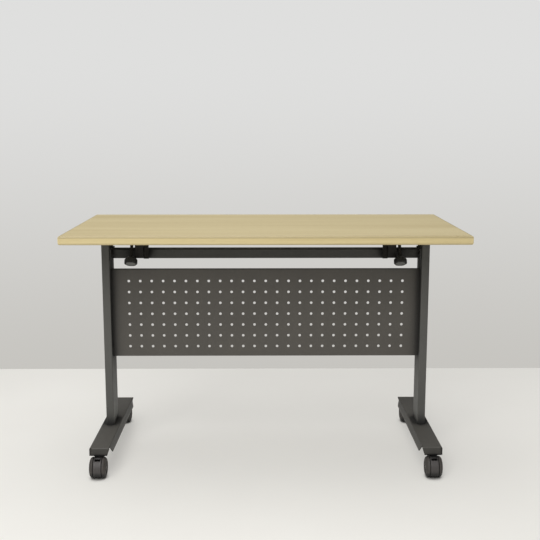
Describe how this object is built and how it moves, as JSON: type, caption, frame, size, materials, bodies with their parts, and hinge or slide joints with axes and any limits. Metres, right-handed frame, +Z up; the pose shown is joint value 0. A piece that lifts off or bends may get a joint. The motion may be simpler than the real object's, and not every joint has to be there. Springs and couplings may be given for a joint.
{
  "type": "flip-top table",
  "caption": "Flip-top training table: laminated oak top hinged on a cross beam between T-legs, perforated modesty panel, knobbed release latches and braked twin-wheel castors.",
  "frame": {"origin": "on the floor under the middle of the top, the bottom centre of the bounding box", "axes": "+X along the table, +Y from the front edge (latch knobs) to the rear edge, +Z up"},
  "size_m": [1.2, 0.6, 0.75],
  "materials": {
    "powder_coat": "fine-textured dark grey powder coat",
    "black_steel": "blackened steel",
    "zinc_steel": "bright zinc plate",
    "oak_laminate": "light oak print, satin",
    "edge_band": "light oak edging, rounded and satin",
    "backing": "plain backing laminate, matt",
    "chipboard": "raw chipboard",
    "black_plastic": "moulded black plastic",
    "castor_nylon": "moulded dark nylon, satin",
    "castor_wheel": "moulded dark wheel with a soft tread",
    "rubber": "black rubber"
  },
  "bodies": {
    "frame": {"left_column": "powder_coat", "left_column_cap": "black_plastic", "left_base_plate": "powder_coat", "left_foot": "powder_coat", "left_beam_plate": "powder_coat", "left_pivot_bracket": "powder_coat", "left_pivot_pin": "zinc_steel", "right_column": "powder_coat", "right_column_cap": "black_plastic", "right_base_plate": "powder_coat", "right_foot": "powder_coat", "right_beam_plate": "powder_coat", "right_pivot_bracket": "powder_coat", "right_pivot_pin": "zinc_steel", "base_bolts": "zinc_steel", "stem_bosses": "powder_coat", "castor_stems": "zinc_steel", "flip_beam": "powder_coat", "beam_bolts": "black_steel", "modesty_panel": "powder_coat", "panel_rails": "powder_coat", "left_panel_flange": "powder_coat", "right_panel_flange": "powder_coat", "panel_screws": "zinc_steel", "rest_pads": "rubber", "latch_keepers": "powder_coat"},
    "flip_top": {"top_core": "chipboard", "top_laminate": "oak_laminate", "backing_laminate": "backing", "front_edge_band": "edge_band", "rear_edge_band": "edge_band", "left_edge_band": "edge_band", "right_edge_band": "edge_band", "left_top_bracket": "black_steel", "right_top_bracket": "black_steel", "bracket_screws": "zinc_steel"},
    "left_latch": {"left_latch_shaft": "zinc_steel", "left_latch_hook": "black_steel", "left_latch_lever": "black_steel", "left_latch_knob": "black_plastic"},
    "right_latch": {"right_latch_shaft": "zinc_steel", "right_latch_hook": "black_steel", "right_latch_lever": "black_steel", "right_latch_knob": "black_plastic"},
    "front_left_castor": {"front_left_castor_hood": "castor_nylon"},
    "front_left_wheel_set": {"front_left_wheels": "castor_wheel", "front_left_axle": "zinc_steel"},
    "front_left_brake": {"front_left_brake_pedal": "black_plastic"},
    "front_right_castor": {"front_right_castor_hood": "castor_nylon"},
    "front_right_wheel_set": {"front_right_wheels": "castor_wheel", "front_right_axle": "zinc_steel"},
    "front_right_brake": {"front_right_brake_pedal": "black_plastic"},
    "rear_left_castor": {"rear_left_castor_hood": "castor_nylon"},
    "rear_left_wheel_set": {"rear_left_wheels": "castor_wheel", "rear_left_axle": "zinc_steel"},
    "rear_left_brake": {"rear_left_brake_pedal": "black_plastic"},
    "rear_right_castor": {"rear_right_castor_hood": "castor_nylon"},
    "rear_right_wheel_set": {"rear_right_wheels": "castor_wheel", "rear_right_axle": "zinc_steel"},
    "rear_right_brake": {"rear_right_brake_pedal": "black_plastic"}
  },
  "joints": [
    {"name": "top_flip", "type": "hinge", "parent": "frame", "child": "flip_top", "pos_m": [0, 0.02, 0.692], "axis": [-1, 0, 0], "range_deg": [0, 90]},
    {"name": "left_latch_turn", "type": "hinge", "parent": "flip_top", "child": "left_latch", "pos_m": [-0.402, -0.033, 0.7], "axis": [1, 0, 0], "range_deg": [0, 12]},
    {"name": "right_latch_turn", "type": "hinge", "parent": "flip_top", "child": "right_latch", "pos_m": [0.402, -0.033, 0.7], "axis": [1, 0, 0], "range_deg": [0, 12]},
    {"name": "front_left_swivel", "type": "hinge", "parent": "frame", "child": "front_left_castor", "pos_m": [-0.5125, -0.23, 0.068], "axis": [0, 0, 1], "continuous": true},
    {"name": "front_left_roll", "type": "hinge", "parent": "front_left_castor", "child": "front_left_wheel_set", "pos_m": [-0.5125, -0.256, 0.032], "axis": [1, 0, 0], "continuous": true},
    {"name": "front_left_brake_press", "type": "hinge", "parent": "front_left_castor", "child": "front_left_brake", "pos_m": [-0.5125, -0.25549, 0.06095], "axis": [1, 0, 0], "range_deg": [0, 12]},
    {"name": "front_right_swivel", "type": "hinge", "parent": "frame", "child": "front_right_castor", "pos_m": [0.5125, -0.23, 0.068], "axis": [0, 0, 1], "continuous": true},
    {"name": "front_right_roll", "type": "hinge", "parent": "front_right_castor", "child": "front_right_wheel_set", "pos_m": [0.5125, -0.256, 0.032], "axis": [1, 0, 0], "continuous": true},
    {"name": "front_right_brake_press", "type": "hinge", "parent": "front_right_castor", "child": "front_right_brake", "pos_m": [0.5125, -0.25549, 0.06095], "axis": [1, 0, 0], "range_deg": [0, 12]},
    {"name": "rear_left_swivel", "type": "hinge", "parent": "frame", "child": "rear_left_castor", "pos_m": [-0.5125, 0.23, 0.068], "axis": [0, 0, 1], "continuous": true},
    {"name": "rear_left_roll", "type": "hinge", "parent": "rear_left_castor", "child": "rear_left_wheel_set", "pos_m": [-0.5125, 0.256, 0.032], "axis": [1, 0, 0], "continuous": true},
    {"name": "rear_left_brake_press", "type": "hinge", "parent": "rear_left_castor", "child": "rear_left_brake", "pos_m": [-0.5125, 0.25549, 0.06095], "axis": [-1, 0, 0], "range_deg": [0, 12]},
    {"name": "rear_right_swivel", "type": "hinge", "parent": "frame", "child": "rear_right_castor", "pos_m": [0.5125, 0.23, 0.068], "axis": [0, 0, 1], "continuous": true},
    {"name": "rear_right_roll", "type": "hinge", "parent": "rear_right_castor", "child": "rear_right_wheel_set", "pos_m": [0.5125, 0.256, 0.032], "axis": [1, 0, 0], "continuous": true},
    {"name": "rear_right_brake_press", "type": "hinge", "parent": "rear_right_castor", "child": "rear_right_brake", "pos_m": [0.5125, 0.25549, 0.06095], "axis": [-1, 0, 0], "range_deg": [0, 12]}
  ]
}
